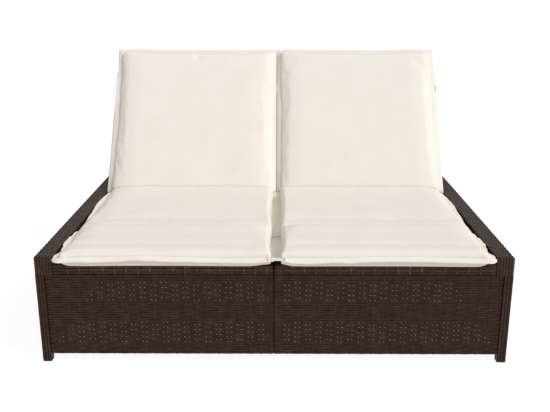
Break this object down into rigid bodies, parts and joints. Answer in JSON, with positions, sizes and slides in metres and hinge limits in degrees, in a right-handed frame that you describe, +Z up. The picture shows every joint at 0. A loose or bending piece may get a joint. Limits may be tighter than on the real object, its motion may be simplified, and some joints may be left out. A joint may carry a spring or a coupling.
{
  "type": "double chaise lounger",
  "caption": "Low woven outdoor lounger for two, with side by side reclining backs on prop stays, loose sectioned cushions and a skirted base.",
  "frame": {"origin": "on the floor, at the centre of the whole outline", "axes": "+X across the lounger to the right as seen from its foot end, +Y from the foot end to the head end, +Z up"},
  "size_m": [1.55, 1.574, 0.9397],
  "materials": {
    "rattan": "dark brown woven synthetic rattan strand",
    "coated_steel": "dark brown powder coat",
    "zinc_steel": "zinc plated",
    "glide_plastic": "moulded black",
    "cushion_fabric": "cream woven polyester cover",
    "strap_webbing": "cream elastic band"
  },
  "bodies": {
    "base": {"front_leg_left": "rattan", "front_leg_right": "rattan", "rear_leg_left": "rattan", "rear_leg_right": "rattan", "arm_rail_left": "rattan", "arm_rail_right": "rattan", "front_header_left": "rattan", "front_header_right": "rattan", "rear_header_left": "rattan", "rear_header_right": "rattan", "front_panel_left": "rattan", "front_panel_right": "rattan", "rear_panel_left": "rattan", "rear_panel_right": "rattan", "side_panel_left": "rattan", "side_panel_right": "rattan", "seat_deck_left": "rattan", "seat_deck_right": "rattan", "rail_caps": "rattan", "centre_leg_front": "coated_steel", "centre_leg_rear": "coated_steel", "front_sill_left": "coated_steel", "front_sill_right": "coated_steel", "rear_sill_left": "coated_steel", "rear_sill_right": "coated_steel", "side_sill_left": "coated_steel", "side_sill_right": "coated_steel", "front_panel_bar": "coated_steel", "rear_panel_bar": "coated_steel", "centre_beam": "coated_steel", "seat_tube": "coated_steel", "hinge_tube": "coated_steel", "rack_bar": "coated_steel", "rest_bar": "coated_steel", "prop_rack_left": "coated_steel", "prop_rack_right": "coated_steel", "hinge_plate": "coated_steel", "frame_bolts": "zinc_steel", "hinge_pins": "zinc_steel", "foot_glides": "glide_plastic", "leg_cushion_left": "cushion_fabric", "leg_cushion_right": "cushion_fabric", "seat_cushion_left": "cushion_fabric", "seat_cushion_right": "cushion_fabric"},
    "back_left": {"back_outer_stile_left": "rattan", "back_inner_stile_left": "rattan", "back_foot_tube_left": "coated_steel", "back_top_tube_left": "rattan", "back_weave_left": "rattan", "back_cushion_left": "cushion_fabric", "back_strap_left": "strap_webbing"},
    "stay_left": {"prop_stay_left": "coated_steel"},
    "back_right": {"back_outer_stile_right": "rattan", "back_inner_stile_right": "rattan", "back_foot_tube_right": "coated_steel", "back_top_tube_right": "rattan", "back_weave_right": "rattan", "back_cushion_right": "cushion_fabric", "back_strap_right": "strap_webbing"},
    "stay_right": {"prop_stay_right": "coated_steel"}
  },
  "joints": [
    {"name": "left_recline", "type": "hinge", "parent": "base", "child": "back_left", "pos_m": [-0.36, 0.055, 0.332], "axis": [1, 0, 0], "range_deg": [-54, 4]},
    {"name": "left_stay_fold", "type": "hinge", "parent": "back_left", "child": "stay_left", "pos_m": [-0.36, 0.23134, 0.57471], "axis": [1, 0, 0], "range_deg": [-9, 112]},
    {"name": "right_recline", "type": "hinge", "parent": "base", "child": "back_right", "pos_m": [0.36, 0.055, 0.332], "axis": [1, 0, 0], "range_deg": [-54, 4]},
    {"name": "right_stay_fold", "type": "hinge", "parent": "back_right", "child": "stay_right", "pos_m": [0.36, 0.23134, 0.57471], "axis": [1, 0, 0], "range_deg": [-9, 112]}
  ],
  "couplings": [
    {"joint": "left_stay_fold", "follows": "left_recline", "ratio": -2.063},
    {"joint": "right_stay_fold", "follows": "right_recline", "ratio": -2.063}
  ]
}
